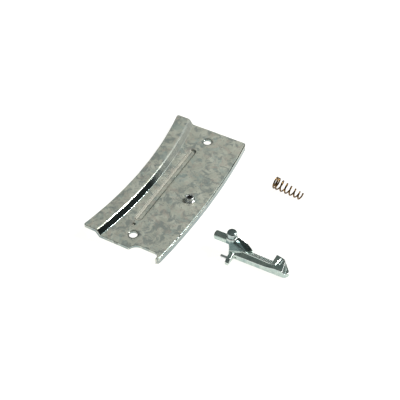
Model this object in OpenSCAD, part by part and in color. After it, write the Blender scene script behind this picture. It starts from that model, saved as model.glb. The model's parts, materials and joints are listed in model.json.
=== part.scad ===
// Latch set for a stair gate: curved cover plate, hooked lever on its pivot pin, and conical spring.
// Millimetres, +Z up. Origin: midpoint between the two screw holes, on the plate's underside.
// The three items lie side by side on one surface, as they come out of the bag.

/* [Cover plate] */
// Length of the plate between its two end cuts
plate_l = 101; // [88:1:116]
// Width of the plate across its middle
plate_w = 43.6; // [40:0.2:50]
// Metal thickness
plate_t = 2; // [1.6:0.1:2.6]
// Radius of the inner arc
inner_r = 227.5; // [180:1:300]
// Radius of the outer arc
outer_r = 404; // [330:1:480]
// Width of the raised strip along the inner arc
strip_w = 8.25; // [6:0.25:10]
// Height of the raised strip above the main face
strip_rise = 3.3; // [2.2:0.1:4.2]
// Horizontal run of the bend between the strip and the main face
bend_run = 2.3; // [1.6:0.1:3]
// How far the lip reaches below the underside
lip_drop = 2.1; // [1.5:0.1:3]
// Wall of the lip
lip_t = 1.8; // [1.4:0.1:2.4]
// Width of the locating rib under the bend
rib_t = 1.6; // [1.2:0.1:2.4]
// How far the rib stops short of each end
rib_setback = 7; // [4:0.5:12]

/* [Holes and groove] */
// Distance from each end of the plate to its screw hole
hole_end = 9.35; // [7:0.05:14]
// Diameter of the screw holes
hole_d = 4.5; // [3.4:0.1:5.4]
// Distance from the inner arc to the line of holes, across the middle
hole_inset = 19.7; // [18.5:0.1:24]
// Diameter of the dimple round each screw hole
dimple_d = 6.2; // [5.6:0.1:7.4]
// Depth of that dimple
dimple_depth = 0.35; // [0.2:0.05:0.6]
// Distance from each screw hole to the end of the groove
groove_gap = 9.9; // [8:0.1:16]
// Width of the groove
groove_w = 3.8; // [3:0.1:4.6]
// Depth of the groove at its steep side
groove_depth = 1; // [0.6:0.05:1.3]
// Distance of the groove's centre line from the line of holes
groove_shift = 3.5; // [2.8:0.1:4]
// Diameter of the blind pit between the groove and the near hole
pit_d = 1.6; // [1:0.1:2]
// Distance of the pit from the near hole, along the plate
pit_gap = 6.4; // [5.6:0.1:8]

/* [Near end step] */
// Depth of the step cut into the near end
notch_depth = 3.9; // [2.5:0.1:4.5]
// Distance from the line of holes to where the step begins
notch_start = 2.8; // [1:0.1:6]
// Radius at the left of the step
notch_left_r = 5.2; // [4.6:0.1:6]
// Radius at the right of the step
notch_right_r = 2.5; // [1.5:0.1:3]

/* [Pressed bush] */
// Bore of the bush
bush_bore = 2.66; // [2:0.02:3]
// Diameter of the spigot pressed into the plate
bush_spigot_d = 4; // [3.6:0.1:4.6]
// Diameter of the bush where it meets the plate
bush_foot_d = 5.8; // [5.2:0.1:7]
// Diameter of the bush at its top
bush_top_d = 4.4; // [3.8:0.1:5]
// Height of the bush above the plate
bush_h = 2.4; // [1.5:0.1:3.2]
// Distance of the bush from the outer arc, across the middle
bush_inset = 9.9; // [8:0.1:13]
// Distance of the bush from the middle of the plate, along it
bush_y = -5; // [-20:0.5:20]

/* [Lever] */
// Distance from the pivot to the nose of the lever
lever_reach = 34; // [30:0.5:40]
// Height of the arm's top face
arm_h = 4.4; // [3.8:0.1:5.2]
// Height of the ledge behind the arm
ledge_h = 2.8; // [2:0.1:3.4]
// Distance from the pivot to the arm's front face
arm_front = 4.6; // [4.2:0.1:5.4]
// Distance from the pivot to the back edge of the ledge
ledge_back = 2.3; // [2:0.1:3]
// How far the hook tooth stands out behind the ledge
tooth_h = 4.4; // [4.2:0.1:6]
// Width of the tooth at its tip
tooth_w = 5; // [4:0.1:6]
// Height of the collar's top face
collar_top = 11.4; // [9:0.1:14]
// Diameter of the collar
collar_d = 5.9; // [5.6:0.1:7]
// Diameter of the guide rod
rod_d = 5; // [3.6:0.1:5.2]
// Distance from the pivot to the free end of the guide rod
rod_reach = 9.8; // [8:0.1:13]
// How far the rod's centre line is below the collar's top face
rod_below = 3.3; // [3:0.1:4]
// Width of the toe
toe_w = 2.4; // [2:0.1:3]
// How far the toe stands out in front of the arm
toe_l = 5.5; // [4.6:0.1:7]
// Metal over the cross pin in the toe
toe_cover = 0.4; // [0.3:0.1:1]

/* [Pins] */
// Diameter of the pivot pin above the collar
pivot_d = 5.4; // [4.4:0.1:5.6]
// Height of the pivot pin above the collar
pivot_h = 3.6; // [2.5:0.1:5]
// Diameter of the pivot pin's shank in the lever
shank_d = 3.2; // [2.4:0.1:3.6]
// Length of the shank
shank_l = 6.5; // [5:0.1:8]
// Running clearance round the shank
shank_gap = 0.05; // [0.03:0.01:0.1]
// Gap under the pivot pin's shoulder
shoulder_gap = 0.1; // [0.05:0.05:0.3]
// Diameter of the cross pin
cross_d = 1.9; // [1.4:0.1:2.2]
// Length of the cross pin
cross_l = 5.6; // [4.8:0.1:7]
// How far the cross pin is pressed into the toe
cross_grip = 2; // [1.5:0.1:2]

/* [Spring] */
// Length of the spring at rest
spring_l = 18.6; // [16:0.2:24]
// Outside diameter at the wide end
spring_wide_d = 7.2; // [6:0.1:9]
// Outside diameter at the narrow end
spring_narrow_d = 4.7; // [4:0.1:5.5]
// Wire diameter
wire_d = 0.9; // [0.5:0.05:1]
// Closed turns at the wide end
wide_turns = 1.5; // [1:0.25:2]
// Rise of one closed turn at the wide end
wide_pitch = 1.25; // [1.1:0.05:1.6]
// Open turns
open_turns = 5; // [4:1:7]
// Turns at the narrow end
narrow_turns = 1; // [1:0.25:1.5]
// Rise of one turn at the narrow end
narrow_pitch = 1.9; // [1.2:0.1:2.2]

/* [Where the loose items lie] */
// Gap from the outer arc of the plate to the lever's guide rod
lever_gap = 15.7; // [8:0.1:30]
// Distance of the pivot from the middle of the plate, along it
lever_y = -23.4; // [-40:0.1:0]
// Direction of the lever's arm, in degrees from across the plate
lever_turn = 1; // [-10:1:10]
// Gap from the outer arc of the plate to the wide end of the spring
spring_gap = 24.3; // [10:0.1:40]
// Distance of the wide end from the middle of the plate, along it
spring_y = 30.2; // [20:0.1:40]
// Direction of the spring, in degrees from across the plate
spring_turn = -5.7; // [-20:0.1:20]

/* [Hidden] */
$fn = 96;

// A cut reaches this far past the faces it goes through.
past = 1;

// Plate. The inner arc crosses the middle of the plate at inner_x, the outer arc at outer_x.
inner_x = -hole_inset;
hole_pitch = plate_l - 2 * hole_end;
groove_l = hole_pitch - 2 * groove_gap;
outer_x = inner_x + plate_w;
bush_x = outer_x - bush_inset;
foot_r = inner_r + strip_w + bend_run;
strip_top = plate_t + strip_rise;
table_z = -lip_drop;
near_y = -plate_l / 2;
bend_round = 0.4;
bend_skew = 0.8;
edge_ease = 0.5;
arc_half = asin((plate_l / 2 + past) / inner_r) + 1;

// Notch. Its right-hand arc ends just inside the lip at the near end.
lip_inner_end = outer_x - outer_r - lip_t + sqrt(pow(outer_r, 2) - pow(plate_l / 2, 2));
notch_top = near_y + notch_depth;
notch_left_x = notch_start + notch_left_r;
notch_right_x = lip_inner_end - notch_right_r;

// Lever, about its own pivot, standing on the table.
lever_x = outer_x + lever_gap + rod_reach;
rod_z = collar_top - rod_below;
ledge_narrowing = 0.6;
tooth_left = lever_reach - 11;
tooth_tip_y = ledge_back - ledge_narrowing + tooth_h + 0.5;
head_left = 0.5;
head_right = 11;
gusset_x = 8;
gusset_h = arm_h + (collar_top - arm_h) * 0.5;
collar_h = 2.5;
rod_round = 0.8;
toe_x = head_left + 0.4;
toe_tip_h = 1.8;
cross_y = -arm_front - 2.7;
cross_z = cross_d / 2 + 1.25;
toe_h = cross_z + cross_d / 2 + toe_cover;

// Spring.
wide_r = (spring_wide_d - wire_d) / 2;
narrow_r = (spring_narrow_d - wire_d) / 2;
wide_l = wide_turns * wide_pitch;
narrow_l = narrow_turns * narrow_pitch;
open_l = spring_l - wire_d - wide_l - narrow_l;
spring_lean = atan((wide_r - narrow_r) / open_l);
spring_height = spring_wide_d / 2 * cos(spring_lean) + (wide_l + wire_d / 2) * sin(spring_lean);
spring_x = outer_x + spring_gap;
coil_sides = 8;
steps_per_turn = 20;

// ---- Cover plate ----

module inner_disc(r) {
    translate([inner_x - inner_r, 0]) circle(r = r, $fn = 720);
}

module outer_disc(r) {
    translate([outer_x - outer_r, 0]) circle(r = r, $fn = 720);
}

module between_ends(l) {
    translate([-plate_w * 2, -l / 2]) square([plate_w * 4, l]);
}

// Raised strip and bend, as one section turned about the centre of the inner arc.
module strip_section() {
    polygon([
        [inner_r, strip_top - plate_t],
        [inner_r, strip_top],
        [inner_r + strip_w - bend_round, strip_top],
        [inner_r + strip_w, strip_top - bend_round],
        [foot_r - bend_round, plate_t + bend_round],
        [foot_r + bend_round, plate_t],
        [foot_r + bend_round, 0],
        [foot_r - bend_skew, 0],
        [inner_r + strip_w - bend_skew, strip_top - plate_t]
    ]);
}

module strip() {
    intersection() {
        translate([inner_x - inner_r, 0])
            rotate_extrude(angle = 2 * arc_half, start = -arc_half, $fn = 720) strip_section();
        translate([0, 0, -past]) linear_extrude(strip_top + 2 * past) between_ends(plate_l);
    }
}

module main_outline(reach, l) {
    intersection() {
        difference() {
            outer_disc(outer_r - reach);
            inner_disc(foot_r);
        }
        between_ends(l);
    }
}

module main_face() {
    linear_extrude(plate_t - edge_ease) main_outline(0, plate_l);
    linear_extrude(plate_t) main_outline(edge_ease, plate_l);
}

module lip() {
    translate([0, 0, table_z]) linear_extrude(lip_drop + edge_ease) difference() {
        main_outline(0, plate_l);
        outer_disc(outer_r - lip_t);
    }
}

module rib() {
    translate([0, 0, table_z]) linear_extrude(lip_drop + plate_t / 2) intersection() {
        difference() {
            inner_disc(foot_r + rib_t);
            inner_disc(foot_r);
        }
        between_ends(plate_l - 2 * rib_setback);
    }
}

module near_notch() {
    translate([0, 0, -past]) linear_extrude(plate_t + 2 * past) {
        translate([notch_left_x, notch_top - notch_left_r]) circle(r = notch_left_r);
        translate([notch_right_x, notch_top - notch_right_r]) circle(r = notch_right_r);
        translate([notch_left_x, near_y - past])
            square([notch_right_x - notch_left_x, notch_depth + past]);
        translate([notch_right_x - past, near_y - past])
            square([notch_right_r + past, notch_depth - notch_right_r + past]);
    }
}

module screw_hole(y) {
    translate([0, y, -past]) cylinder(d = hole_d, h = plate_t + 2 * past);
    translate([0, y, plate_t - dimple_depth])
        cylinder(d1 = hole_d, d2 = dimple_d, h = dimple_depth + 0.001);
}

// The groove is deepest at its right-hand wall and slopes up to nothing at its left.
module groove() {
    intersection() {
        translate([-groove_shift, 0, 0]) linear_extrude(plate_t + past) {
            square([groove_w, groove_l - groove_w], center = true);
            for (side = [-1, 1])
                translate([0, side * (groove_l - groove_w) / 2]) circle(d = groove_w);
        }
        translate([-groove_shift, plate_l / 2, plate_t]) rotate([90, 0, 0]) linear_extrude(plate_l)
            polygon([
                [-groove_w / 2, 0],
                [groove_w / 4, -groove_depth],
                [groove_w, -groove_depth],
                [groove_w, past],
                [-groove_w / 2, past]
            ]);
    }
}

module cover_plate() {
    color([0.64, 0.65, 0.6]) difference() {
        union() {
            strip();
            main_face();
            lip();
            rib();
        }
        near_notch();
        for (side = [-1, 1]) screw_hole(side * hole_pitch / 2);
        groove();
        translate([-groove_shift, -hole_pitch / 2 + pit_gap, plate_t / 2])
            cylinder(d = pit_d, h = plate_t);
        translate([bush_x, bush_y, -past]) cylinder(d = bush_spigot_d, h = plate_t + 2 * past);
    }
}

module pressed_bush() {
    color([0.86, 0.87, 0.87]) translate([bush_x, bush_y, 0]) rotate_extrude() polygon([
        [bush_bore / 2, 0],
        [bush_spigot_d / 2, 0],
        [bush_spigot_d / 2, plate_t],
        [bush_foot_d / 2, plate_t],
        [bush_top_d / 2, plate_t + bush_h],
        [bush_bore / 2, plate_t + bush_h]
    ]);
}

// ---- Lever ----

module lay_lever() {
    translate([lever_x, lever_y, table_z]) rotate(lever_turn) children();
}

// Full outline of the arm with its ledge and hook tooth.
module ledge_outline() {
    polygon([
        [head_left, -arm_front],
        [lever_reach - 1.8, -arm_front + 0.2],
        [lever_reach, -arm_front + 2.8],
        [tooth_left + tooth_w, tooth_tip_y - 1],
        [tooth_left, tooth_tip_y],
        [tooth_left, ledge_back - ledge_narrowing],
        [head_left, ledge_back]
    ]);
}

// Outline of the raised part of the arm and tooth, inside the ledge.
module arm_outline() {
    polygon([
        [head_left, -arm_front],
        [lever_reach - 1.8, -arm_front + 0.2],
        [lever_reach - 1.4, -arm_front + 1.4],
        [tooth_left + tooth_w + 0.4, tooth_tip_y - 2.4],
        [tooth_left + 3, tooth_tip_y - 2.6],
        [tooth_left + 2.4, -arm_front + 2.8],
        [head_left + 4, -0.2]
    ]);
}

// Head: a gusset that falls from the collar to the arm.
module head() {
    hull() {
        translate([0, 0, rod_z - rod_d / 4]) cylinder(d = collar_d - 0.6, h = rod_d / 2, $fn = 32);
        translate([head_left, -arm_front, 0])
            cube([head_right - head_left, arm_front + ledge_back, arm_h]);
        translate([gusset_x - 1, ledge_back - 1.4, 0]) cube([1, 1.4, gusset_h]);
    }
    translate([0, 0, collar_top - collar_h]) cylinder(d = collar_d, h = collar_h);
}

module guide_rod() {
    translate([0, 0, rod_z]) rotate([0, -90, 0]) rotate_extrude() polygon([
        [0, 0],
        [rod_d / 2, 0],
        [rod_d / 2, rod_reach - rod_round],
        [rod_d / 2 - rod_round, rod_reach],
        [0, rod_reach]
    ]);
}

module toe() {
    translate([toe_x, -arm_front - toe_l, 0]) rotate([90, 0, 90]) linear_extrude(toe_w) polygon([
        [0, 0],
        [toe_l + 1, 0],
        [toe_l + 1, toe_h],
        [toe_l / 3, toe_h],
        [0, toe_tip_h]
    ]);
}

module lever_body() {
    color([0.55, 0.6, 0.58]) lay_lever() difference() {
        union() {
            linear_extrude(ledge_h) ledge_outline();
            linear_extrude(arm_h) arm_outline();
            head();
            guide_rod();
            toe();
        }
        translate([0, 0, collar_top - shank_l - past])
            cylinder(d = shank_d + 2 * shank_gap, h = shank_l + 2 * past);
        translate([toe_x - past, cross_y, cross_z]) rotate([0, 90, 0])
            cylinder(d = cross_d, h = cross_grip + past);
        translate([toe_x + toe_w + 1.2, -arm_front - past, 1.5]) rotate([-90, 0, 0])
            cylinder(d = 1.4, h = 1 + past);
    }
}

module pivot_pin() {
    color([0.6, 0.64, 0.64]) lay_lever() translate([0, 0, collar_top + shoulder_gap]) {
        cylinder(d = pivot_d, h = pivot_h - shoulder_gap);
        translate([0, 0, -shank_l]) cylinder(d = shank_d, h = shank_l + pivot_h / 2);
    }
}

module cross_pin() {
    color([0.75, 0.77, 0.76]) lay_lever() translate([toe_x + cross_grip, cross_y, cross_z])
        rotate([0, -90, 0]) cylinder(d = cross_d, h = cross_l);
}

// ---- Spring: one wire, in three stretches so that the open turns can close up ----

module lay_spring() {
    translate([spring_x, spring_y, table_z + spring_height]) rotate([0, 0, spring_turn])
        rotate([0, 90 + spring_lean, 0]) translate([0, 0, wire_d / 2]) children();
}

// Height and radius of the wire's centre line after a number of turns.
function wire_z(n) =
    n <= wide_turns ? n * wide_pitch
    : n <= wide_turns + open_turns ? wide_l + (n - wide_turns) / open_turns * open_l
    : wide_l + open_l + (n - wide_turns - open_turns) * narrow_pitch;

function wire_r(n) =
    n <= wide_turns ? wide_r
    : n <= wide_turns + open_turns ? wide_r + (n - wide_turns) / open_turns * (narrow_r - wide_r)
    : narrow_r;

// One ring of points round the wire, square to the way it runs.
function wire_ring(n) = [
    for (k = [0 : coil_sides - 1])
        let (a = 360 * k / coil_sides)
        let (r = wire_r(n) + wire_d / 2 * cos(a))
        [r * cos(360 * n), r * sin(360 * n), wire_z(n) + wire_d / 2 * sin(a)]
];

module wire(from, to) {
    steps = ceil((to - from) * steps_per_turn);
    points = [for (i = [0 : steps]) each wire_ring(from + (to - from) * i / steps)];
    sides = [
        for (i = [0 : steps - 1]) for (k = [0 : coil_sides - 1])
            let (k2 = (k + 1) % coil_sides)
            [i * coil_sides + k, i * coil_sides + k2,
             (i + 1) * coil_sides + k2, (i + 1) * coil_sides + k]
    ];
    first_cap = [for (k = [coil_sides - 1 : -1 : 0]) k];
    last_cap = [for (k = [0 : coil_sides - 1]) steps * coil_sides + k];
    polyhedron(points, concat([first_cap], sides, [last_cap]), convexity = 10);
}

module spring_base() {
    color([0.55, 0.42, 0.2]) lay_spring() wire(0, wide_turns);
}

module spring_coils() {
    color([0.6, 0.46, 0.22]) lay_spring() wire(wide_turns, wide_turns + open_turns);
}

module spring_tip() {
    color([0.55, 0.42, 0.2]) lay_spring()
        wire(wide_turns + open_turns, wide_turns + open_turns + narrow_turns);
}

cover_plate();
pressed_bush();
lever_body();
pivot_pin();
cross_pin();
spring_base();
spring_coils();
spring_tip();
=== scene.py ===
"""Looks for the stair gate latch set: cast cover plate and bush, hooked lever and pins, and spring.

Pieces are modelled in millimetres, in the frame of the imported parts, and are written in metres.
"""

import json
import math

import bmesh
import bpy
from mathutils import Matrix, Vector, noise


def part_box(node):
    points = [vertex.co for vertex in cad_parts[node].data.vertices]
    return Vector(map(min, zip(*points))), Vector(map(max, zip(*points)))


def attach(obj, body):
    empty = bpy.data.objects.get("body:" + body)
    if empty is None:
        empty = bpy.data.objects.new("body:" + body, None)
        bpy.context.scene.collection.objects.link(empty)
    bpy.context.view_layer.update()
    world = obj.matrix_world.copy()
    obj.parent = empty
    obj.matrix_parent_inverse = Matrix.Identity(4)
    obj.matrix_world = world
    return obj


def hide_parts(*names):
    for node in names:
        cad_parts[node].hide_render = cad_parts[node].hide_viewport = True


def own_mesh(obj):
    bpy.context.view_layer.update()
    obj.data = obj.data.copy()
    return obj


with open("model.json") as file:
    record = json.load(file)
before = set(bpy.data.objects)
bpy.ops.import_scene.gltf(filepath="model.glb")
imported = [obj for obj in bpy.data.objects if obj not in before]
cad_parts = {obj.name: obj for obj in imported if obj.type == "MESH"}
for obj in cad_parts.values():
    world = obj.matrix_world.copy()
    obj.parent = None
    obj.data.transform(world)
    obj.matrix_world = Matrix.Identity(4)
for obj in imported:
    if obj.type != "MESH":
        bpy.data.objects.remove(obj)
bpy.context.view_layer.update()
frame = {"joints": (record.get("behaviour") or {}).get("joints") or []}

MM = 0.001
X, Y, Z = range(3)


def box_mm(node):
    low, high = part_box(node)
    return low / MM, high / MM


# ---- Sizes, in millimetres ----

plate_low, plate_high = box_mm("cover_plate")
bush_low, bush_high = box_mm("pressed_bush")
pin_low, pin_high = box_mm("pivot_pin")

TABLE_Z = plate_low.z
HALF_L = plate_high.y
PLATE_T = 2.0
STRIP_TOP = plate_high.z
OUTER_X = plate_high.x
PLATE_W = 43.6
INNER_X = OUTER_X - PLATE_W
INNER_R = 227.5
OUTER_R = 404.0
STRIP_W = 8.25
BEND_RUN = 2.3
BEND_SKEW = 0.8
LIP_T = 1.8
RIB_T = 1.6
RIB_SETBACK = 7.0
FOOT_X = INNER_X + STRIP_W + BEND_RUN
INNER_CENTRE = INNER_X - INNER_R
OUTER_CENTRE = OUTER_X - OUTER_R

HOLE_Y = 41.15
HOLE_R = 2.25
DIMPLE_R = 3.1
GROOVE_X = -3.5
GROOVE_L = 62.5
GROOVE_W = 3.8
GROOVE_DEPTH = 1.0
GROOVE_SLOPE_W = 1.1
PIT_Y = -HOLE_Y + 6.4
NOTCH_DEPTH = 3.9
NOTCH_START = 2.8
NOTCH_LEFT_R = 5.2
NOTCH_RIGHT_R = 2.5
BORE_R = 1.33
SPIGOT_R = 2.0

LEVER_TURN = math.radians(1)
LEVER_AT = Vector(((pin_low.x + pin_high.x) / 2, (pin_low.y + pin_high.y) / 2, TABLE_Z))
COLLAR_TOP = 11.4
ROD_Z = 8.1
ROD_R = 2.5
ROD_REACH = 9.8
ROD_ROUND = 0.9
LEVER_REACH = 34.0
ARM_H = 4.4
LEDGE_H = 2.8
CROSS_AT = Vector((2.9, -7.3, 2.2))
CROSS_R = 0.95
CROSS_L = 5.6
SHANK_R = 1.6
SHANK_L = 6.4
PIN_HEAD_R = 2.7
SERRATIONS = 14
SERRATION_PITCH = 0.9
SERRATION_H = 0.08

WIRE_R = 0.45
WIDE_R = 3.15
NARROW_R = 1.9
WIDE_TURNS, WIDE_PITCH = 1.5, 1.25
OPEN_TURNS = 5
NARROW_TURNS, NARROW_PITCH = 1, 1.9
SPRING_L = 18.6
SPRING_AWAY_X = 24.3
SPRING_Y = 30.2
SPRING_TURN = math.radians(-5.7)
WIDE_L = WIDE_TURNS * WIDE_PITCH
NARROW_L = NARROW_TURNS * NARROW_PITCH
OPEN_L = SPRING_L - 2 * WIRE_R - WIDE_L - NARROW_L


# ---- Mesh helpers ----


def new_object(name, bm):
    bmesh.ops.scale(bm, vec=(MM, MM, MM), verts=bm.verts)
    mesh = bpy.data.meshes.new(name)
    bm.to_mesh(mesh)
    bm.free()
    obj = bpy.data.objects.new(name, mesh)
    bpy.context.scene.collection.objects.link(obj)
    return obj


def take_modifiers(obj):
    """The shape that the modifiers give becomes the object's own mesh."""
    graph = bpy.context.evaluated_depsgraph_get()
    mesh = bpy.data.meshes.new_from_object(obj.evaluated_get(graph))
    obj.modifiers.clear()
    obj.data = mesh


def combine(obj, tool, operation):
    step = obj.modifiers.new(operation.lower(), "BOOLEAN")
    step.operation = operation
    step.solver = "MANIFOLD"
    step.object = tool
    take_modifiers(obj)
    bpy.data.objects.remove(tool)


def round_corner(bm, vert, reach, segments):
    """Rounds one corner of a flat face, from reach along each of its sides."""
    bmesh.ops.bevel(
        bm, geom=[vert], affect="VERTICES", offset=reach, offset_type="OFFSET",
        segments=segments, profile=0.5, material=-1, clamp_overlap=False,
    )


def round_edges(bm, edges, reach, segments, clamp=False):
    bmesh.ops.bevel(
        bm, geom=edges, affect="EDGES", offset=reach, segments=segments, profile=0.5,
        material=-1, clamp_overlap=clamp,
    )


def extrude(bm, faces, vec):
    made = bmesh.ops.extrude_face_region(bm, geom=faces)["geom"]
    bmesh.ops.translate(bm, vec=vec, verts=[g for g in made if isinstance(g, bmesh.types.BMVert)])
    return [g for g in made if isinstance(g, bmesh.types.BMFace)]


def turned(bm, profile, steps=64):
    """A closed solid turned about Z from a profile of (radius, height) points, first to last."""
    verts = [bm.verts.new((r, 0, z)) for r, z in profile]
    edges = [bm.edges.new(pair) for pair in zip(verts, verts[1:])]
    bmesh.ops.spin(
        bm, geom=verts + edges, cent=(0, 0, 0), axis=(0, 0, 1), angle=2 * math.pi,
        steps=steps, use_merge=True, use_duplicate=False,
    )
    bmesh.ops.remove_doubles(bm, verts=bm.verts, dist=1e-5)
    bmesh.ops.recalc_face_normals(bm, faces=bm.faces)


def turned_part(profile, place, steps=64, closed=False):
    """A bmesh holding one turned solid, put in place by a matrix. A closed profile makes a ring."""
    bm = bmesh.new()
    turned(bm, profile + [profile[0]] if closed else profile, steps)
    bmesh.ops.transform(bm, matrix=place, verts=bm.verts)
    return bm


def join(bm, other):
    """Adds another bmesh to bm."""
    mesh = bpy.data.meshes.new("joined")
    other.to_mesh(mesh)
    other.free()
    bm.from_mesh(mesh)
    bpy.data.meshes.remove(mesh)


def arc(centre, radius, start, end, steps):
    """Points (radius, height) along an arc, in degrees."""
    angles = [math.radians(start + (end - start) * i / steps) for i in range(steps + 1)]
    return [(centre[0] + radius * math.cos(a), centre[1] + radius * math.sin(a)) for a in angles]


def mark_wear(obj, radius):
    """Adds two attributes for the finishes.

    "wear" is 1 where the surface is as sharply convex as an edge of that radius (mm), and 0 where
    it is flat or hollow.
    "slope" is 0 on level faces and 1 on upright ones.
    """
    bm = bmesh.new()
    bm.from_mesh(obj.data)
    bm.verts.layers.float.new("wear")
    bm.verts.layers.float.new("slope")
    layer, slope = bm.verts.layers.float["wear"], bm.verts.layers.float["slope"]
    for v in bm.verts:
        area = sum(f.calc_area() for f in v.link_faces)
        edges = [e for e in v.link_edges if e.is_manifold]
        bend = sum(e.calc_face_angle_signed(0.0) * e.calc_length() for e in edges)
        v[layer] = max(0.0, min(1.0, 1.5 * bend / max(area, 1e-12) * radius * MM))
        v[slope] = 1 - abs(v.normal.z)
    bm.to_mesh(obj.data)
    bm.free()


def finish_piece(obj, material, body, nodes, smooth_angle=35, wear_radius=0.5):
    """Gives a piece its shading, material, body and slot, and hides the nodes it replaces.

    A cut leaves an empty material slot, which counts as none.
    """
    mark_wear(obj, wear_radius)
    mesh = obj.data
    mesh.polygons.foreach_set("use_smooth", [True] * len(mesh.polygons))
    mesh.set_sharp_from_angle(angle=math.radians(smooth_angle))
    if not any(mesh.materials):
        mesh.materials.clear()
        mesh.materials.append(material)
        mesh.polygons.foreach_set("material_index", [0] * len(mesh.polygons))
    weighted = obj.modifiers.new("even shading", "WEIGHTED_NORMAL")
    weighted.keep_sharp = True
    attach(obj, body)
    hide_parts(*nodes)


# ---- Materials ----


class Finish:
    """A node material that is built up step by step on Object coordinates."""

    def __init__(self, name, metallic=1.0):
        self.mat = bpy.data.materials.new(name)
        self.mat.use_nodes = True
        self.nodes = self.mat.node_tree.nodes
        self.links = self.mat.node_tree.links
        self.nodes.clear()
        self.out = self.nodes.new("ShaderNodeOutputMaterial")
        self.shader = self.nodes.new("ShaderNodeBsdfPrincipled")
        self.links.new(self.shader.outputs[0], self.out.inputs[0])
        self.shader.inputs["Metallic"].default_value = metallic
        self.where = self.nodes.new("ShaderNodeTexCoord").outputs["Object"]

    def mapping(self, scale=(1, 1, 1), turn=(0, 0, 0), shift=(0, 0, 0)):
        node = self.nodes.new("ShaderNodeMapping")
        node.inputs["Scale"].default_value = scale
        node.inputs["Rotation"].default_value = turn
        node.inputs["Location"].default_value = shift
        self.links.new(self.where, node.inputs["Vector"])
        return node.outputs[0]

    def noise(self, size, detail=4.0, rough=0.55, vector=None, distort=0.0):
        """Cloudy noise whose lumps are about size millimetres across."""
        node = self.nodes.new("ShaderNodeTexNoise")
        node.inputs["Scale"].default_value = 1 / (size * MM)
        node.inputs["Detail"].default_value = detail
        node.inputs["Roughness"].default_value = rough
        node.inputs["Distortion"].default_value = distort
        self.links.new(vector or self.where, node.inputs["Vector"])
        return node.outputs["Fac"]

    def attribute(self, name):
        node = self.nodes.new("ShaderNodeAttribute")
        node.attribute_name = name
        return node.outputs["Fac"]

    def along(self, axis, low, high):
        """0 at low to 1 at high, in millimetres along an axis. low may be the greater."""
        split = self.nodes.new("ShaderNodeSeparateXYZ")
        self.links.new(self.where, split.inputs[0])
        node = self.nodes.new("ShaderNodeMapRange")
        self.links.new(split.outputs[axis], node.inputs["Value"])
        node.inputs["From Min"].default_value = low * MM
        node.inputs["From Max"].default_value = high * MM
        return node.outputs[0]

    def ramp(self, value, *stops):
        """Two stops, each (position, grey), the lower position first."""
        node = self.nodes.new("ShaderNodeValToRGB")
        for end, (position, grey) in zip(node.color_ramp.elements, stops):
            end.position = position
            end.color = (grey, grey, grey, 1)
        self.links.new(value, node.inputs[0])
        return node.outputs[0]

    def mix(self, fac, a, b, blend="MIX"):
        node = self.nodes.new("ShaderNodeMix")
        node.data_type = "RGBA"
        node.blend_type = blend
        for socket, value in ((node.inputs[0], fac), (node.inputs[6], a), (node.inputs[7], b)):
            if isinstance(value, bpy.types.NodeSocket):
                self.links.new(value, socket)
            elif isinstance(value, tuple):
                socket.default_value = (*value, 1)
            else:
                socket.default_value = value
        return node.outputs[2]

    def maths(self, operation, a, b=None):
        node = self.nodes.new("ShaderNodeMath")
        node.operation = operation
        for socket, value in ((node.inputs[0], a), (node.inputs[1], b)):
            if isinstance(value, bpy.types.NodeSocket):
                self.links.new(value, socket)
            elif value is not None:
                socket.default_value = value
        return node.outputs[0]

    def between(self, value, low, high):
        """value, from 0 to 1, spread over low to high."""
        node = self.nodes.new("ShaderNodeMapRange")
        self.links.new(value, node.inputs["Value"])
        node.inputs["To Min"].default_value = low
        node.inputs["To Max"].default_value = high
        return node.outputs[0]

    def bump(self, height, depth, strength=1.0, after=None):
        """Bumps depth millimetres high."""
        node = self.nodes.new("ShaderNodeBump")
        node.inputs["Strength"].default_value = strength
        node.inputs["Distance"].default_value = depth * MM
        self.links.new(height, node.inputs["Height"])
        if after is not None:
            self.links.new(after, node.inputs["Normal"])
        return node.outputs[0]

    def set(self, **inputs):
        for name, value in inputs.items():
            socket = self.shader.inputs[name.replace("_", " ")]
            if isinstance(value, bpy.types.NodeSocket):
                self.links.new(value, socket)
            else:
                socket.default_value = value
        return self.mat


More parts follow.
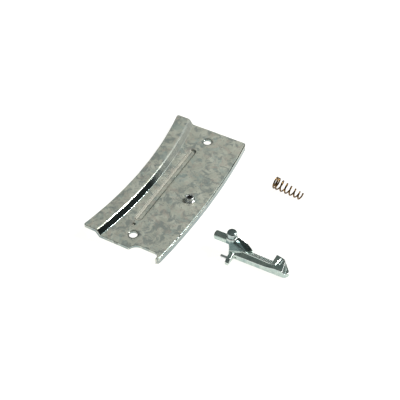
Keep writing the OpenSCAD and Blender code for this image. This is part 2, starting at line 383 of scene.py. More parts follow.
def cast_zinc():
    """Half-matt zinc-plated die casting, clouded grey-green, with stains, specks, scratches and bright edges.

    Some finishes go by position. Tilted faces are polished on the near half of the bend and from the
    groove's middle outwards, and steep faces are polished everywhere. The far half of the bend is rougher,
    with painted shade on it, and shade is also painted on the groove's inner slope and in polished hollows.
    """
    bend_x, bend_y = -7, (14, -6)
    far_bend_shade_y = (-2, 12)
    inner_slope_x = GROOVE_X - 2.8
    f = Finish("cast_zinc", metallic=0.55)
    clouds = f.noise(9, 3, 0.6, distort=0.6)
    mottle = f.noise(4.5, 5, 0.7, f.mapping(shift=(0.3, 0.1, 0)), distort=0.8)
    grain = f.noise(0.45, 3, 0.6)
    stain = f.noise(6, 4, 0.7, f.mapping(shift=(0.7, 0.2, 0.1)), distort=1.2)
    green = f.noise(7, 3, 0.6, f.mapping(shift=(0.15, 0.9, 0.4)), distort=1.0)
    specks = f.noise(1.1, 2, 0.5, f.mapping(shift=(0.5, 0.5, 0)))
    one_way = f.mapping(scale=(1.0, 0.07, 1.0), turn=(0, 0, math.radians(38)))
    scratch = f.noise(1.6, 2, 0.5, one_way)
    other_way = f.mapping(scale=(0.08, 1.0, 1.0), turn=(0, 0, math.radians(21)))
    scratch_two = f.noise(1.9, 2, 0.5, other_way)
    wear = f.attribute("wear")

    colour = f.mix(f.ramp(clouds, (0.35, 0.0), (0.65, 1.0)), (0.56, 0.575, 0.48), (0.74, 0.755, 0.64))
    colour = f.mix(f.ramp(mottle, (0.42, 0.9), (0.52, 0.0)), colour, (0.35, 0.39, 0.36))
    colour = f.mix(f.ramp(stain, (0.52, 0.0), (0.62, 0.6)), colour, (0.6, 0.53, 0.45))
    colour = f.mix(f.ramp(green, (0.55, 0.0), (0.65, 0.5)), colour, (0.44, 0.54, 0.5))
    colour = f.mix(f.ramp(specks, (0.27, 0.75), (0.33, 0.0)), colour, (0.14, 0.15, 0.15))
    colour = f.mix(f.ramp(scratch, (0.69, 0.0), (0.74, 0.45)), colour, (0.74, 0.76, 0.72))
    colour = f.mix(f.ramp(scratch_two, (0.25, 0.4), (0.31, 0.0)), colour, (0.2, 0.2, 0.19))
    colour = f.mix(f.ramp(wear, (0.35, 0.0), (0.9, 0.6)), colour, (0.86, 0.88, 0.86))
    slope = f.attribute("slope")
    tilted = f.ramp(slope, (0.03, 0.0), (0.08, 1.0))
    left_of_bend = f.along(X, bend_x, bend_x - 1)
    polished = f.maths("MULTIPLY", f.along(Y, *bend_y), left_of_bend)
    polished = f.maths("MAXIMUM", polished, f.along(X, GROOVE_X, GROOVE_X + 0.1))
    polished = f.maths("MAXIMUM", polished, f.ramp(slope, (0.6, 0.0), (0.85, 1.0)))
    smooth = f.maths("MULTIPLY", tilted, polished)
    # Painted shade: the groove's inner slope is darkened towards a dark brown.
    inner_side = f.along(X, inner_slope_x, inner_slope_x + 0.2)
    inner_side = f.maths("MULTIPLY", inner_side, f.along(X, GROOVE_X, GROOVE_X - 0.2))
    inner_slope_shade = f.maths("MULTIPLY", f.ramp(slope, (0.01, 0.0), (0.04, 0.75)), inner_side)
    colour = f.mix(inner_slope_shade, colour, (0.2, 0.185, 0.15))
    # Painted shade: tilted faces on the far half of the bend are darkened.
    far_bend_shade = f.maths("MULTIPLY", f.maths("MULTIPLY", tilted, left_of_bend), f.along(Y, *far_bend_shade_y))
    colour = f.mix(f.maths("MULTIPLY", far_bend_shade, 0.75), colour, (0.3, 0.32, 0.29))
    rough = f.maths("ADD", f.between(mottle, 0.34, 0.56), f.between(grain, -0.06, 0.06))
    rough = f.mix(smooth, rough, (0.13, 0.13, 0.13))
    metal = f.between(smooth, 0.4, 1.0)
    # Painted shade: tilted, polished hollows, such as the bend's foot, are darkened.
    hollow = f.maths("MULTIPLY", smooth, f.ramp(wear, (0.05, 1.0), (0.2, 0.0)))
    colour = f.mix(f.maths("MULTIPLY", hollow, 0.85), colour, (0.2, 0.27, 0.28))
    normal = f.bump(clouds, 0.35, 0.5)
    normal = f.bump(mottle, 0.06, 0.6, normal)
    normal = f.bump(grain, 0.012, 0.5, normal)
    normal = f.bump(scratch, 0.01, 0.4, normal)
    return f.set(Base_Color=colour, Roughness=rough, Metallic=metal, Normal=normal)


def plated_zinc():
    """Shiny plated die casting, with a soft cast surface. Shade is painted on it between the arm and the
    collar.
    """
    f = Finish("plated_zinc")
    head_low, head_high = TABLE_Z + 4.5, TABLE_Z + 9.5
    head_x = LEVER_AT.x - 2.3
    clouds = f.noise(4, 3, 0.55, distort=0.5)
    mottle = f.noise(1.1, 4, 0.6)
    grain = f.noise(0.3, 3, 0.6)
    specks = f.noise(0.6, 2, 0.5, f.mapping(shift=(0.4, 0.2, 0.1)))
    wear = f.attribute("wear")
    colour = f.mix(f.ramp(clouds, (0.35, 0.0), (0.65, 1.0)), (0.40, 0.52, 0.49), (0.62, 0.71, 0.64))
    colour = f.mix(f.ramp(mottle, (0.34, 0.6), (0.46, 0.0)), colour, (0.36, 0.42, 0.41))
    colour = f.mix(f.ramp(specks, (0.28, 0.6), (0.33, 0.0)), colour, (0.12, 0.13, 0.13))
    # Painted shade: the head between the arm's top and the collar is darkened.
    head = f.along(Z, head_low, head_low + 0.6)
    head = f.maths("MULTIPLY", head, f.along(Z, head_high, head_high - 0.3))
    head = f.maths("MULTIPLY", head, f.along(X, head_x, head_x + 0.3))
    colour = f.mix(f.maths("MULTIPLY", head, 0.85), colour, (0.12, 0.19, 0.19))
    colour = f.mix(f.ramp(wear, (0.3, 0.0), (0.9, 0.9)), colour, (0.93, 0.94, 0.92))
    rough = f.between(mottle, 0.2, 0.34)
    normal = f.bump(clouds, 0.12, 0.5)
    normal = f.bump(mottle, 0.015, 0.5, normal)
    normal = f.bump(grain, 0.006, 0.5, normal)
    return f.set(Base_Color=colour, Roughness=rough, Normal=normal)


def turned_steel(name, tone, low, high):
    """Turned metal, with fine marks round it."""
    f = Finish(name)
    marks = f.noise(0.25, 3, 0.6)
    clouds = f.noise(1.5, 3, 0.6)
    wear = f.attribute("wear")
    dark = tuple(c * 0.72 for c in tone)
    colour = f.mix(f.ramp(clouds, (0.35, 0.0), (0.65, 1.0)), dark, tone)
    colour = f.mix(f.ramp(wear, (0.3, 0.0), (0.9, 0.8)), colour, (0.93, 0.94, 0.93))
    normal = f.bump(clouds, 0.05, 0.4)
    normal = f.bump(marks, 0.008, 0.5, normal)
    return f.set(Base_Color=colour, Roughness=f.between(marks, low, high), Normal=normal)


def spring_wire():
    """Drawn brass-coloured wire, dark brown in clouds, with painted highlights: light gold glints along the
    drawing marks.
    """
    f = Finish("spring_wire")
    stain = f.noise(1.6, 4, 0.65, distort=0.6)
    drawn = f.noise(0.3, 3, 0.6)
    colour = f.mix(f.ramp(stain, (0.35, 0.0), (0.62, 1.0)), (0.05, 0.025, 0.01), (0.24, 0.14, 0.045))
    # Painted highlights: light gold glints where the drawn marks are strong.
    colour = f.mix(f.ramp(drawn, (0.6, 0.0), (0.8, 0.5)), colour, (0.6, 0.42, 0.18))
    normal = f.bump(drawn, 0.012, 0.5)
    return f.set(Base_Color=colour, Roughness=f.between(drawn, 0.2, 0.38), Normal=normal)


def painted_bore_shade():
    """Painted shade: a near-black lining for the bush's bore."""
    f = Finish("painted_bore_shade", metallic=0.3)
    bore_shade_mottle = f.noise(0.4, 3, 0.6)
    colour = f.mix(f.ramp(bore_shade_mottle, (0.4, 0.0), (0.7, 1.0)), (0.006, 0.007, 0.008), (0.02, 0.021, 0.022))
    rough = f.between(bore_shade_mottle, 0.5, 0.75)
    return f.set(Base_Color=colour, Roughness=rough, Normal=f.bump(bore_shade_mottle, 0.02, 0.6))


ZINC = cast_zinc()
PLATED = plated_zinc()
PIN_STEEL = turned_steel("plated_steel", (0.44, 0.56, 0.54), 0.14, 0.3)
BRIGHT = turned_steel("bright_steel", (0.8, 0.82, 0.82), 0.16, 0.3)
WIRE = spring_wire()
BORE_SHADE = painted_bore_shade()


# ---- Cover plate ----

CORNER_R = 1.8
END_EASE = 0.35
CORNER_ZONE = 6.0


def plate_section(bm):
    """Section across the plate, in the plane of its near end, cut into narrow upright strips."""
    under_strip = STRIP_TOP - PLATE_T
    y = -HALF_L + END_EASE
    corners = [
        (INNER_X, under_strip, 0.5),
        (INNER_X, STRIP_TOP, 0.6),
        (INNER_X + STRIP_W, STRIP_TOP, 0.75),
        (FOOT_X, PLATE_T, 0.25),
        (OUTER_X, PLATE_T, 0.9),
        (OUTER_X, TABLE_Z, 0.4),
        (OUTER_X - LIP_T, TABLE_Z, 0.4),
        (OUTER_X - LIP_T, 0, 0.6),
        (FOOT_X - BEND_SKEW, 0, 0.4),
        (INNER_X + STRIP_W - BEND_SKEW, under_strip, 0.6),
    ]
    verts = [bm.verts.new((x, y, z)) for x, z, reach in corners]
    bm.faces.new(verts)
    for vert, (_, _, reach) in zip(verts, corners):
        round_corner(bm, vert, reach, 4)
    cuts = [INNER_X + d for d in (0.25, 0.45, 0.75, 1.1, 1.5, 2.2, 3.4, 4.8, 6.2)]
    cuts += [OUTER_X - d for d in (0.3, 0.55, 0.85, 1.2, 1.6, 2.1, 3.2)]
    steps = 17
    first, last = FOOT_X + 1.2, OUTER_X - 4.2
    cuts += [first + (last - first) * i / steps for i in range(steps + 1)]
    for x in cuts:
        bmesh.ops.bisect_plane(
            bm, geom=bm.verts[:] + bm.edges[:] + bm.faces[:],
            plane_co=(x, 0, 0), plane_no=(1, 0, 0), dist=1e-6,
        )


def on_arc(centre, x, y):
    """Where x, at the plate's middle, comes to lie at y on an arc about that centre."""
    return centre + math.sqrt((x - centre) ** 2 - y * y)


def lay_on_arcs(bm):
    """Bends a straight plate: strip and bend follow the inner arc, the lip follows the outer one."""
    foot_end = FOOT_X + 1.0
    lip_end = OUTER_X - LIP_T - 0.6

    for v in bm.verts:
        x, y = v.co.x, v.co.y
        from_edge = max(0.0, min(x - INNER_X, OUTER_X - x))
        if from_edge < CORNER_R and abs(y) > HALF_L - CORNER_ZONE:
            reach = CORNER_R - math.sqrt(CORNER_R**2 - (CORNER_R - from_edge) ** 2)
            share = (abs(y) - (HALF_L - CORNER_ZONE)) / CORNER_ZONE
            y -= math.copysign(reach * share, y)
        if x <= foot_end:
            new_x = on_arc(INNER_CENTRE, x, y)
        elif x >= lip_end:
            new_x = on_arc(OUTER_CENTRE, x, y)
        else:
            share = (x - foot_end) / (lip_end - foot_end)
            foot_x = on_arc(INNER_CENTRE, foot_end, y)
            new_x = foot_x * (1 - share) + on_arc(OUTER_CENTRE, lip_end, y) * share
        v.co.x, v.co.y = new_x, y


def ease_end(bm, cap, side):
    """Rounds the rim of a flat end: the cap is drawn out in steps, each one pulled in."""
    in_cap = set(cap)
    pull = {}
    for v in {v for f in cap for v in f.verts}:
        outward = sum((f.normal for f in v.link_faces if f not in in_cap), Vector())
        outward.y = 0
        pull[round(v.co.x, 4), round(v.co.z, 4)] = outward.normalized()
    steps = [math.radians(a) for a in (0, 30, 60, 90)]
    for start, stop in zip(steps, steps[1:]):
        drawn = extrude(bm, cap, (0, side * END_EASE * (math.sin(stop) - math.sin(start)), 0))
        bmesh.ops.delete(bm, geom=cap, context="FACES")
        cap = drawn
        moved = {}
        for v in {v for f in cap for v in f.verts}:
            outward = pull[round(v.co.x, 4), round(v.co.z, 4)]
            v.co -= outward * END_EASE * (math.cos(start) - math.cos(stop))
            moved[round(v.co.x, 4), round(v.co.z, 4)] = outward
        pull = moved


def plate_blank():
    bm = bmesh.new()
    plate_section(bm)
    near_end = bm.faces[:]
    far_end = extrude(bm, near_end, (0, 2 * (HALF_L - END_EASE), 0))
    long_edges = [e for e in bm.edges if abs(e.verts[0].co.y - e.verts[1].co.y) > 1]
    bmesh.ops.subdivide_edges(bm, edges=long_edges, cuts=119, use_grid_fill=True)
    bmesh.ops.recalc_face_normals(bm, faces=bm.faces)
    for end, side in ((near_end, -1), (far_end, 1)):
        ease_end(bm, end, side)
    lay_on_arcs(bm)
    bmesh.ops.recalc_face_normals(bm, faces=bm.faces)
    return bm


def locating_rib():
    """Low rib under the bend, with rounded lower edges, that stops short of the ends."""
    bm = bmesh.new()
    half = HALF_L - RIB_SETBACK
    section = ((FOOT_X, 1), (FOOT_X + RIB_T, 1), (FOOT_X + RIB_T, TABLE_Z), (FOOT_X, TABLE_Z))
    face = bm.faces.new([bm.verts.new((x, -half, z)) for x, z in section])
    extrude(bm, [face], (0, 2 * half, 0))
    lower = [e for e in bm.edges if all(v.co.z < 0 for v in e.verts)]
    round_edges(bm, lower, 0.3, 3)
    long_edges = [e for e in bm.edges if abs(e.verts[0].co.y - e.verts[1].co.y) > 10]
    bmesh.ops.subdivide_edges(bm, edges=long_edges, cuts=60, use_grid_fill=True)
    for v in bm.verts:
        v.co.x = on_arc(INNER_CENTRE, v.co.x, v.co.y)
    bmesh.ops.recalc_face_normals(bm, faces=bm.faces)
    return bm


def hole_cutter(y):
    """Through hole with a shallow dimple and eased edges."""
    profile = [(0, -1), (HOLE_R + 0.3, -1), (HOLE_R + 0.3, 0)]
    profile += arc((HOLE_R + 0.3, 0.3), 0.3, 270, 180, 4)
    profile += [(HOLE_R, PLATE_T - 0.75)]
    profile += arc((HOLE_R + 0.5, PLATE_T - 0.75), 0.5, 180, 115, 5)
    profile += [(DIMPLE_R - 0.15, PLATE_T - 0.2)]
    profile += [(DIMPLE_R + 0.1, PLATE_T - 0.1), (DIMPLE_R + 0.35, PLATE_T - 0.03)]
    profile += [(DIMPLE_R + 0.6, PLATE_T)]
    profile += [(DIMPLE_R + 0.6, PLATE_T + 1), (0, PLATE_T + 1)]
    return turned_part(profile, Matrix.Translation((0, y, 0)), 72)


def groove_cutter():
    """Long groove: a steep wall and a rounded rim on its outer side, a slope on its inner side."""
    bm = bmesh.new()
    half_w = GROOVE_W / 2
    straight = (GROOVE_L - GROOVE_W) / 2
    rings = []
    for inset, z in (
        (1.15, PLATE_T - GROOVE_DEPTH),
        (0.55, PLATE_T - GROOVE_DEPTH),
        (0.35, PLATE_T - GROOVE_DEPTH + 0.05),
        (0.2, PLATE_T - GROOVE_DEPTH + 0.25),
        (0.15, PLATE_T - 0.5),
        (0.0, PLATE_T - 0.32),
        (-0.15, PLATE_T - 0.2),
        (-0.35, PLATE_T - 0.1),
        (-0.58, PLATE_T - 0.025),
        (-0.8, PLATE_T + 0.01),
        (-0.8, PLATE_T + 1),
    ):
        radius = half_w - inset
        circle = bmesh.ops.create_circle(bm, cap_ends=False, segments=48, radius=radius)["verts"]
        for v in circle:
            v.co.y += math.copysign(straight, v.co.y)
            v.co.z = z
        rings.append([e for e in bm.edges if all(v in circle for v in e.verts)])
    for a, b in zip(rings, rings[1:]):
        bmesh.ops.bridge_loops(bm, edges=a + b)
    bmesh.ops.edgeloop_fill(bm, edges=rings[0])
    bmesh.ops.edgeloop_fill(bm, edges=rings[-1])
    for v in bm.verts:
        if v.co.z < PLATE_T:
            share = max(0.0, min(1.0, (v.co.x + half_w) / GROOVE_SLOPE_W))
            v.co.z = max(v.co.z, PLATE_T - 0.02 - GROOVE_DEPTH * share)
        v.co.x += GROOVE_X
    bmesh.ops.recalc_face_normals(bm, faces=bm.faces)
    return bm


def pit_cutter():
    profile = [(0, 1.05), (0.35, 1.1), (0.62, 1.3), (0.72, PLATE_T - 0.25)]
    profile += [(0.8, PLATE_T - 0.1), (1.0, PLATE_T), (1.0, PLATE_T + 0.5), (0, PLATE_T + 0.5)]
    return turned_part(profile, Matrix.Translation((GROOVE_X, PIT_Y, 0)), 32)


def notch_cutter():
    """Step in the near end, with a wide round on its left, a small one by the lip, and flared rims."""
    bm = bmesh.new()
    right = OUTER_CENTRE - LIP_T + math.sqrt(OUTER_R**2 - HALF_L**2)
    top = -HALF_L + NOTCH_DEPTH
    below = -HALF_L - 3
    rings = []
    for flare, z in (
        (0.3, -1.5), (0.3, 0), (0.12, 0.08), (0, 0.3), (0, PLATE_T - 0.4), (0.04, PLATE_T - 0.24),
        (0.12, PLATE_T - 0.11), (0.24, PLATE_T - 0.03), (0.4, PLATE_T + 0.01), (0.4, PLATE_T + 1),
    ):
        points = [
            (NOTCH_START - flare, below), (NOTCH_START - flare, top + flare),
            (right + flare, top + flare), (right + flare, below),
        ]
        verts = [bm.verts.new((x, y, z)) for x, y in points]
        faces_before = set(bm.faces)
        bm.faces.new(verts)
        round_corner(bm, verts[1], NOTCH_LEFT_R + flare, 12)
        round_corner(bm, verts[2], NOTCH_RIGHT_R + flare, 12)
        rings.append(next(f for f in bm.faces if f not in faces_before))
    for low, high in zip(rings, rings[1:]):
        bmesh.ops.bridge_loops(bm, edges=low.edges[:] + high.edges[:])
    bmesh.ops.delete(bm, geom=rings[1:-1], context="FACES_ONLY")
    bmesh.ops.recalc_face_normals(bm, faces=bm.faces)
    return bm


BUSH_PLACE = Matrix.Translation(((bush_low.x + bush_high.x) / 2, (bush_low.y + bush_high.y) / 2, 0))


def uneven(obj, size, depth):
    """The slight unevenness of a casting: lumps of that size, depth millimetres high."""
    mesh = obj.data
    normals = [v.normal.copy() for v in mesh.vertices]
    for v, normal in zip(mesh.vertices, normals):
        v.co += normal * (depth * MM * noise.noise(v.co / (size * MM)))


def build_plate():
    plate = new_object("cover_plate_casting", plate_blank())
    combine(plate, new_object("rib", locating_rib()), "UNION")
    cutters = bmesh.new()
    join(cutters, hole_cutter(HOLE_Y))
    join(cutters, hole_cutter(-HOLE_Y))
    join(cutters, groove_cutter())
    join(cutters, pit_cutter())
    join(cutters, notch_cutter())
    seat = [(0, -1), (SPIGOT_R, -1), (SPIGOT_R, PLATE_T + 1), (0, PLATE_T + 1)]
    join(cutters, turned_part(seat, BUSH_PLACE, 48))
    combine(plate, new_object("cutters", cutters), "DIFFERENCE")
    uneven(plate, 7, 0.07)
    finish_piece(plate, ZINC, "plate", ["cover_plate"], wear_radius=0.4)


def build_bush():
    """Rolled eyelet: spigot in the plate, spread foot, waist and rounded rim, with a dark bore."""
    top = bush_high.z
    profile = [(BORE_R, 0.15), (BORE_R + 0.15, 0), (SPIGOT_R - 0.15, 0), (SPIGOT_R, 0.15)]
    profile += [(SPIGOT_R, PLATE_T), (SPIGOT_R + 0.75, PLATE_T)]
    profile += arc((2.72, PLATE_T + 0.28), 0.25, -80, 60, 6)
    profile += arc((3.2, PLATE_T + 1.5), 1.05, 245, 190, 6)
    profile += [(2.16, PLATE_T + 1.75)]
    profile += arc((1.86, top - 0.34), 0.34, 0, 90, 6)
    profile += arc((BORE_R + 0.28, top - 0.28), 0.28, 90, 180, 5)
    profile += [(BORE_R, top - 1)]
    bush = new_object("pressed_bush_eyelet", turned_part(profile, BUSH_PLACE, 64, closed=True))
    bush.data.materials.append(BRIGHT)
    # The second slot holds the painted shade for the bore's faces.
    bush.data.materials.append(BORE_SHADE)
    centre = BUSH_PLACE.translation * MM
    for face in bush.data.polygons:
        away = face.center - centre
        if away.xy.length < (BORE_R + 0.02) * MM:
            face.material_index = 1
    finish_piece(bush, BRIGHT, "plate", ["pressed_bush"])


# ---- Lever ----

LEVER_PLACE = Matrix.Translation(LEVER_AT) @ Matrix.Rotation(LEVER_TURN, 4, "Z")


def slab(points, low, high, rounding=(), ease=0.0):
    """Flat slab over an outline of (x, y) points.

    rounding gives (corner number, reach), and ease rounds the upper edges.
    """
    bm = bmesh.new()
    verts = [bm.verts.new((x, y, low)) for x, y in points]
    bm.faces.new(verts)
    for corner, reach in rounding:
        round_corner(bm, verts[corner], reach, 5)
    top = extrude(bm, bm.faces[:], (0, 0, high - low))
    if ease:
        round_edges(bm, [e for f in top for e in f.edges], ease, 4, clamp=True)
    bmesh.ops.recalc_face_normals(bm, faces=bm.faces)
    return bm


def hull(points):
    bm = bmesh.new()
    for p in points:
        bm.verts.new(p)
    made = bmesh.ops.convex_hull(bm, input=bm.verts)
    bmesh.ops.delete(bm, geom=made["geom_interior"], context="VERTS")
    bmesh.ops.recalc_face_normals(bm, faces=bm.faces)
    return bm


def ring_points(centre, radius, z, steps=24):
    angles = [2 * math.pi * i / steps for i in range(steps)]
    return [(centre[0] + radius * math.cos(a), centre[1] + radius * math.sin(a), z) for a in angles]


def lever_shapes():
    """The lever's masses about its own pivot. They overlap, and are fused into one casting later."""
    nose_x = LEVER_REACH
    ledge = [
        (0.5, -4.6), (nose_x - 1.8, -4.4), (nose_x, -1.8), (28, 5.6),
        (23, 6.6), (23, 1.7), (0.5, 2.3),
    ]
    yield slab(ledge, 0, LEDGE_H, [(1, 1.2), (2, 0.9), (3, 0.7), (4, 0.8)], 0.3)
    # Raised arm and tooth. The arm's top falls towards its front edge.
    arm = [
        (0.5, -4.6), (nose_x - 1.8, -4.4), (nose_x - 1.0, -2.9), (28.4, 4.3),
        (26, 4.1), (25.4, -1.8), (4.5, -1.0),
    ]
    raised = slab(arm, 0, ARM_H, [(1, 0.8), (2, 0.6), (3, 0.9), (4, 0.9)])
    long_edges = [e for e in raised.edges if e.calc_length() > 8]
    bmesh.ops.subdivide_edges(raised, edges=long_edges, cuts=12)
    for v in raised.verts:
        if v.co.z > 1:
            along = max(0.0, min(1.0, (27 - v.co.x) / 6))
            v.co.z -= 0.33 * max(0.0, -1.2 - v.co.y) * along
    front = [e for e in raised.edges if all(v.co.z > 1 and v.co.y < -4 for v in e.verts)]
    front = [e for e in front if e.calc_face_angle(0) > 0.8]
    round_edges(raised, front, 0.8, 4, clamp=True)
    # The nose falls away at its tip.
    cut = bmesh.ops.bisect_plane(
        raised, geom=raised.verts[:] + raised.edges[:] + raised.faces[:],
        plane_co=(nose_x - 3.5, -3.4, ARM_H), plane_no=(0.72, 0.12, 0.68), clear_outer=True,
    )["geom_cut"]
    bmesh.ops.edgeloop_fill(raised, edges=[g for g in cut if isinstance(g, bmesh.types.BMEdge)])
    yield raised
    # Ridge along the back of the arm, and two up the tooth
    for start, stop, r in (
        ((4.8, -1.3, ARM_H), (25.2, -2.05, ARM_H), 0.34),
        ((25.5, -2.0, ARM_H), (26.5, 3.6, ARM_H), 0.24),
        ((27.4, -0.6, ARM_H - 0.08), (27.8, 3.2, ARM_H - 0.08), 0.2),
    ):
        run = Vector(stop) - Vector(start)
        place = Matrix.Translation(start) @ run.to_track_quat("Z", "Y").to_matrix().to_4x4()
        yield turned_part([(0, 0), (r, 0), (r, run.length), (0, run.length)], place, 16)
    # Column under the collar, its flare on to the arm, and the gusset down the arm's back
    crest = ((0.5, COLLAR_TOP - 0.6), (2.4, COLLAR_TOP - 0.9), (8.1, 7.9), (11.2, 4.3))
    yield hull(ring_points((0, 0), 1.9, COLLAR_TOP - 1.2) + ring_points((0.3, 0), 1.8, 5.5))
    yield hull(
        ring_points((0.4, 0), 2.0, 9.3)
        + [(0.3, -4.4, 4.2), (6.5, -2.2, 4.3), (9.4, -1.1, 4.2), (8.1, 2.2, 6.4), (0.3, 2.2, 4.2)]
        + [(0.3, -4.4, 0.2), (3.0, -4.5, 0.2), (0.3, 2.2, 0.2)]
    )
    yield hull(
        [(x, y, z) for y in (1.9, 2.2) for x, z in crest]
        + [(0.5, 2.2, 0), (11.6, 2.2, 0), (2.6, -1.4, 7.0), (9.2, -1.0, 4.2), (10.8, 0.9, 2.7)]
    )
    # Collar
    collar = [(0, -2.0), (2.6, -2.0), (2.95, -1.7), (2.95, -0.25), (2.7, 0), (0, 0)]
    yield turned_part(collar, Matrix.Translation((0, 0, COLLAR_TOP)))
    # Guide rod
    end = ROD_REACH - ROD_ROUND
    rod = [(0, 0), (ROD_R, 0), (ROD_R, end)]
    rod += arc((ROD_R - ROD_ROUND, end), ROD_ROUND, 0, 90, 6) + [(0, ROD_REACH)]
    rod_place = Matrix.Translation((0, 0, ROD_Z)) @ Matrix.Rotation(-math.pi / 2, 4, "Y")
    yield turned_part(rod, rod_place, 48)
    # Toe
    toe = ((-10.1, 0.1), (-10.1, 1.7), (-8.4, 3.5), (-4, 3.9), (-4, 0))
    yield hull([(x, y, z) for x in (0.9, 3.3) for y, z in toe])
    # Serrations along the ledge, each a low ridge on a slant
    foot, top = LEDGE_H - 0.1, LEDGE_H + SERRATION_H
    ridge = ((-0.22, foot), (0.22, foot), (-0.1, top), (0.1, top))
    for i in range(SERRATIONS):
        x = 10.6 + i * SERRATION_PITCH
        yield hull([(x + dx + (y + 1) * 0.3, y, z) for y in (-1.2, 1.7) for dx, z in ridge])


def build_lever():
    """Fuses the masses into one casting, softens it, and cuts the pin's bore and a pit in front."""
    bm = bmesh.new()
    for shape in lever_shapes():
        join(bm, shape)
    bmesh.ops.transform(bm, matrix=LEVER_PLACE, verts=bm.verts)
    lever = new_object("lever_casting", bm)
    fuse = lever.modifiers.new("fuse", "REMESH")
    fuse.mode = "VOXEL"
    fuse.voxel_size = 0.13 * MM
    soften = lever.modifiers.new("soften", "SMOOTH")
    soften.factor = 0.5
    soften.iterations = 6
    take_modifiers(lever)
    tools = bmesh.new()
    bore_r = SHANK_R + 0.05
    bore_at = LEVER_PLACE @ Matrix.Translation((0, 0, COLLAR_TOP - SHANK_L - 0.1))
    join(tools, turned_part([(0, 0), (bore_r, 0), (bore_r, 9), (0, 9)], bore_at, 48))
    front_pit = [(0, 0), (0.35, 0.05), (0.6, 0.4), (0.75, 2.5), (0, 2.5)]
    pit_place = Matrix.Translation((4.5, -3.9, 1.5)) @ Matrix.Rotation(math.pi / 2, 4, "X")
    join(tools, turned_part(front_pit, LEVER_PLACE @ pit_place, 32))
    combine(lever, new_object("tools", tools), "DIFFERENCE")
    finish_piece(lever, PLATED, "lever", ["lever_body"], smooth_angle=50)


def build_pivot_pin():
    """Shank, shoulder, waisted neck and domed head."""
    top = pin_high.z - LEVER_AT.z
    foot = COLLAR_TOP - SHANK_L
    shoulder = COLLAR_TOP + 0.1
    dome_r = 1.15
    profile = [(0, foot), (SHANK_R - 0.15, foot), (SHANK_R, foot + 0.2), (SHANK_R, shoulder)]
    profile += [(2.3, shoulder)] + arc((2.35, shoulder + 0.2), 0.2, -90, 0, 3)
    profile += arc((2.25, top - 2.0), 0.3, 0, 60, 3) + [(2.05, top - 1.6)]
    profile += arc((2.35, top - 1.25), 0.35, -90, 0, 4)
    profile += arc((PIN_HEAD_R - dome_r, top - 1.2), dome_r, 0, 72, 10)
    profile += [(1.3, top - 0.03), (0.7, top), (0, top)]
    pin = new_object("pivot_pin_turned", turned_part(profile, LEVER_PLACE, 72))
    finish_piece(pin, PIN_STEEL, "pivot", ["pivot_pin"])


def build_cross_pin():
    profile = [(0, 0), (CROSS_R - 0.2, 0), (CROSS_R, 0.2), (CROSS_R, CROSS_L - 0.25)]
    profile += arc((CROSS_R - 0.25, CROSS_L - 0.25), 0.25, 0, 90, 4) + [(0, CROSS_L)]
    place = LEVER_PLACE @ Matrix.Translation(CROSS_AT) @ Matrix.Rotation(-math.pi / 2, 4, "Y")
    pin = new_object("cross_pin_turned", turned_part(profile, place, 48))
    finish_piece(pin, BRIGHT, "lever", ["cross_pin"])


# ---- Spring ----

squeeze = next(j for j in frame["joints"] if j["name"] == "spring_squeeze")
SPRING_AXIS = -Vector(squeeze["axis"]).normalized()
SPRING_LEAN = math.atan2(WIDE_R - NARROW_R, OPEN_L)
SPRING_Z = TABLE_Z
SPRING_Z += (WIDE_R + WIRE_R) * math.cos(SPRING_LEAN) + (WIDE_L + WIRE_R) * math.sin(SPRING_LEAN)
SPRING_PLACE = (
    Matrix.Translation((OUTER_X + SPRING_AWAY_X, SPRING_Y, SPRING_Z))
    @ Matrix.Rotation(SPRING_TURN, 4, "Z")
    @ Matrix.Rotation(math.radians(90) + SPRING_LEAN, 4, "Y")
    @ Matrix.Translation((0, 0, WIRE_R))
)
STEPS_PER_TURN = 40


def wire_stretch(start_turn, turns, length, start_z, start_r, end_r):
    """Round wire wound about Z: a ring of the wire's section, spun as it climbs, then tapered."""
    bm = bmesh.new()
    ring = bmesh.ops.create_circle(bm, cap_ends=False, segments=16, radius=WIRE_R)["verts"]
    stand = Matrix.Translation((start_r, 0, start_z)) @ Matrix.Rotation(math.pi / 2, 4, "X")
    bmesh.ops.transform(bm, matrix=stand, verts=bm.verts)
    steps = int(turns * STEPS_PER_TURN)
    bmesh.ops.spin(
        bm, geom=bm.verts[:] + bm.edges[:], cent=(0, 0, 0), axis=(0, 0, 1),
        dvec=(0, 0, length / steps), angle=2 * math.pi * turns, steps=steps,
        use_merge=False, use_duplicate=False,
    )
    bmesh.ops.edgeloop_fill(bm, edges=[e for e in bm.edges if e.is_boundary])
    for v in bm.verts:
        away = v.co.xy.length
        climbed = max(0.0, min(1.0, (v.co.z - start_z) / length))
        v.co.xy *= 1 + (end_r - start_r) * climbed / away
    start = Matrix.Rotation(2 * math.pi * start_turn, 3, "Z")
    bmesh.ops.rotate(bm, cent=(0, 0, 0), matrix=start, verts=bm.verts)
    bmesh.ops.transform(bm, matrix=SPRING_PLACE, verts=bm.verts)
    bmesh.ops.recalc_face_normals(bm, faces=bm.faces)
    return bm


def build_spring():
    """Three stretches of one wire. The open turns, which close up when the real spring is squeezed, get a
    mesh of their own; nothing here makes them close.
    """
    base = new_object("spring_wide_turns", wire_stretch(0, WIDE_TURNS, WIDE_L, 0, WIDE_R, WIDE_R))
    finish_piece(base, WIRE, "spring", ["spring_base"])
    open_part = wire_stretch(WIDE_TURNS, OPEN_TURNS, OPEN_L, WIDE_L, WIDE_R, NARROW_R)
    coils = new_object("spring_open_turns", open_part)
    finish_piece(coils, WIRE, "spring", ["spring_coils"])
    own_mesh(coils)
    tip_part = wire_stretch(
        WIDE_TURNS + OPEN_TURNS, NARROW_TURNS, NARROW_L, WIDE_L + OPEN_L, NARROW_R, NARROW_R
    )
    tip = new_object("spring_end_turn", tip_part)
    finish_piece(tip, WIRE, "spring_end", ["spring_tip"])


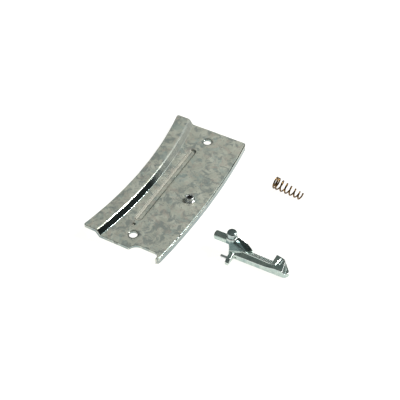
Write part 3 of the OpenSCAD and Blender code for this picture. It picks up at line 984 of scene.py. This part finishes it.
build_plate()
build_bush()
build_lever()
build_pivot_pin()
build_cross_pin()
build_spring()


# ---- Floor, light and camera ----

AZIMUTH, ELEVATION = math.radians(28.73), math.radians(46)
TARGET = Vector((17.12, 1.10, -2.1)) * MM
DISTANCE = 514.7 * MM
LENS = 83.8
FLOOR_GAP = 0.02
FLOOR_SIZE = 4000


def direction(azimuth, elevation):
    """Unit vector towards a bearing, clockwise from +Y as seen from above, at an elevation."""
    level = math.cos(elevation)
    return Vector((level * math.sin(azimuth), level * math.cos(azimuth), math.sin(elevation)))


BACK = direction(math.pi - AZIMUTH, ELEVATION)
TALL_LIGHT = direction(math.radians(50), math.radians(48))


def build_floor():
    bm = bmesh.new()
    bmesh.ops.create_grid(bm, x_segments=1, y_segments=1, size=FLOOR_SIZE)
    bmesh.ops.translate(bm, vec=(0, 0, TABLE_Z - FLOOR_GAP), verts=bm.verts)
    floor = new_object("floor", bm)
    f = Finish("white_floor", metallic=0.0)
    f.set(Base_Color=(0.25, 0.247, 0.24, 1), Roughness=0.9)
    f.set(Emission_Color=(1.0, 0.99, 0.965, 1), Emission_Strength=0.97)
    floor.data.materials.append(f.mat)


def build_world():
    """A dim room round a white table: a tall light at the far right, a light wall on the camera's side.

    The camera itself sees white behind the floor.
    """
    world = bpy.data.worlds.new("studio")
    bpy.context.scene.world = world
    world.use_nodes = True
    nodes, links = world.node_tree.nodes, world.node_tree.links
    nodes.clear()
    where = nodes.new("ShaderNodeTexCoord").outputs["Generated"]

    def towards(way, near, far, strength):
        """Light strength inside the cone near (cosine), fading to none outside the cone far."""
        dot = nodes.new("ShaderNodeVectorMath")
        dot.operation = "DOT_PRODUCT"
        dot.inputs[1].default_value = Vector(way).normalized()
        links.new(where, dot.inputs[0])
        fade = nodes.new("ShaderNodeMapRange")
        fade.interpolation_type = "SMOOTHSTEP"
        links.new(dot.outputs["Value"], fade.inputs["Value"])
        fade.inputs["From Min"].default_value = far
        fade.inputs["From Max"].default_value = near
        fade.inputs["To Max"].default_value = strength
        return fade.outputs[0]

    def add(a, b):
        node = nodes.new("ShaderNodeMath")
        links.new(a, node.inputs[0])
        links.new(b, node.inputs[1])
        return node.outputs[0]

    tall = towards(TALL_LIGHT, 0.985, 0.93, 1.3)
    wall = towards((BACK.x - 0.5, BACK.y, -0.11), 0.906, 0.8, 0.75)
    overhead = towards((0, 0, 1), 0.75, 0.3, 0.12)
    light = add(add(tall, wall), overhead)
    room = nodes.new("ShaderNodeBackground")
    room.inputs[0].default_value = (0.92, 1.0, 0.97, 1)
    dim = nodes.new("ShaderNodeMath")
    dim.inputs[1].default_value = 0.05
    links.new(light, dim.inputs[0])
    links.new(dim.outputs[0], room.inputs[1])
    seen = nodes.new("ShaderNodeBackground")
    seen.inputs[0].default_value = (1, 1, 1, 1)
    pick = nodes.new("ShaderNodeMixShader")
    links.new(nodes.new("ShaderNodeLightPath").outputs["Is Camera Ray"], pick.inputs[0])
    links.new(room.outputs[0], pick.inputs[1])
    links.new(seen.outputs[0], pick.inputs[2])
    links.new(pick.outputs[0], nodes.new("ShaderNodeOutputWorld").inputs[0])


def area_light(name, at, size, power, aim):
    data = bpy.data.lights.new(name, "AREA")
    data.shape = "SQUARE"
    data.size = size
    data.energy = power
    lamp = bpy.data.objects.new(name, data)
    lamp.location = at
    lamp.rotation_mode = "QUATERNION"
    lamp.rotation_quaternion = (Vector(aim) - Vector(at)).to_track_quat("-Z", "Y")
    bpy.context.scene.collection.objects.link(lamp)


def build_camera():
    data = bpy.data.cameras.new("camera")
    data.lens = LENS
    data.sensor_width = 36
    data.clip_start, data.clip_end = 0.01, 50
    camera = bpy.data.objects.new("camera", data)
    camera.location = TARGET + BACK * DISTANCE
    camera.rotation_mode = "QUATERNION"
    camera.rotation_quaternion = (-BACK).to_track_quat("-Z", "Y")
    bpy.context.scene.collection.objects.link(camera)
    bpy.context.scene.camera = camera


build_floor()
build_world()
area_light("tall light", TALL_LIGHT * 0.8, 0.12, 4.6, (0.01, 0, 0))
build_camera()
bpy.context.scene.view_settings.view_transform = "Standard"
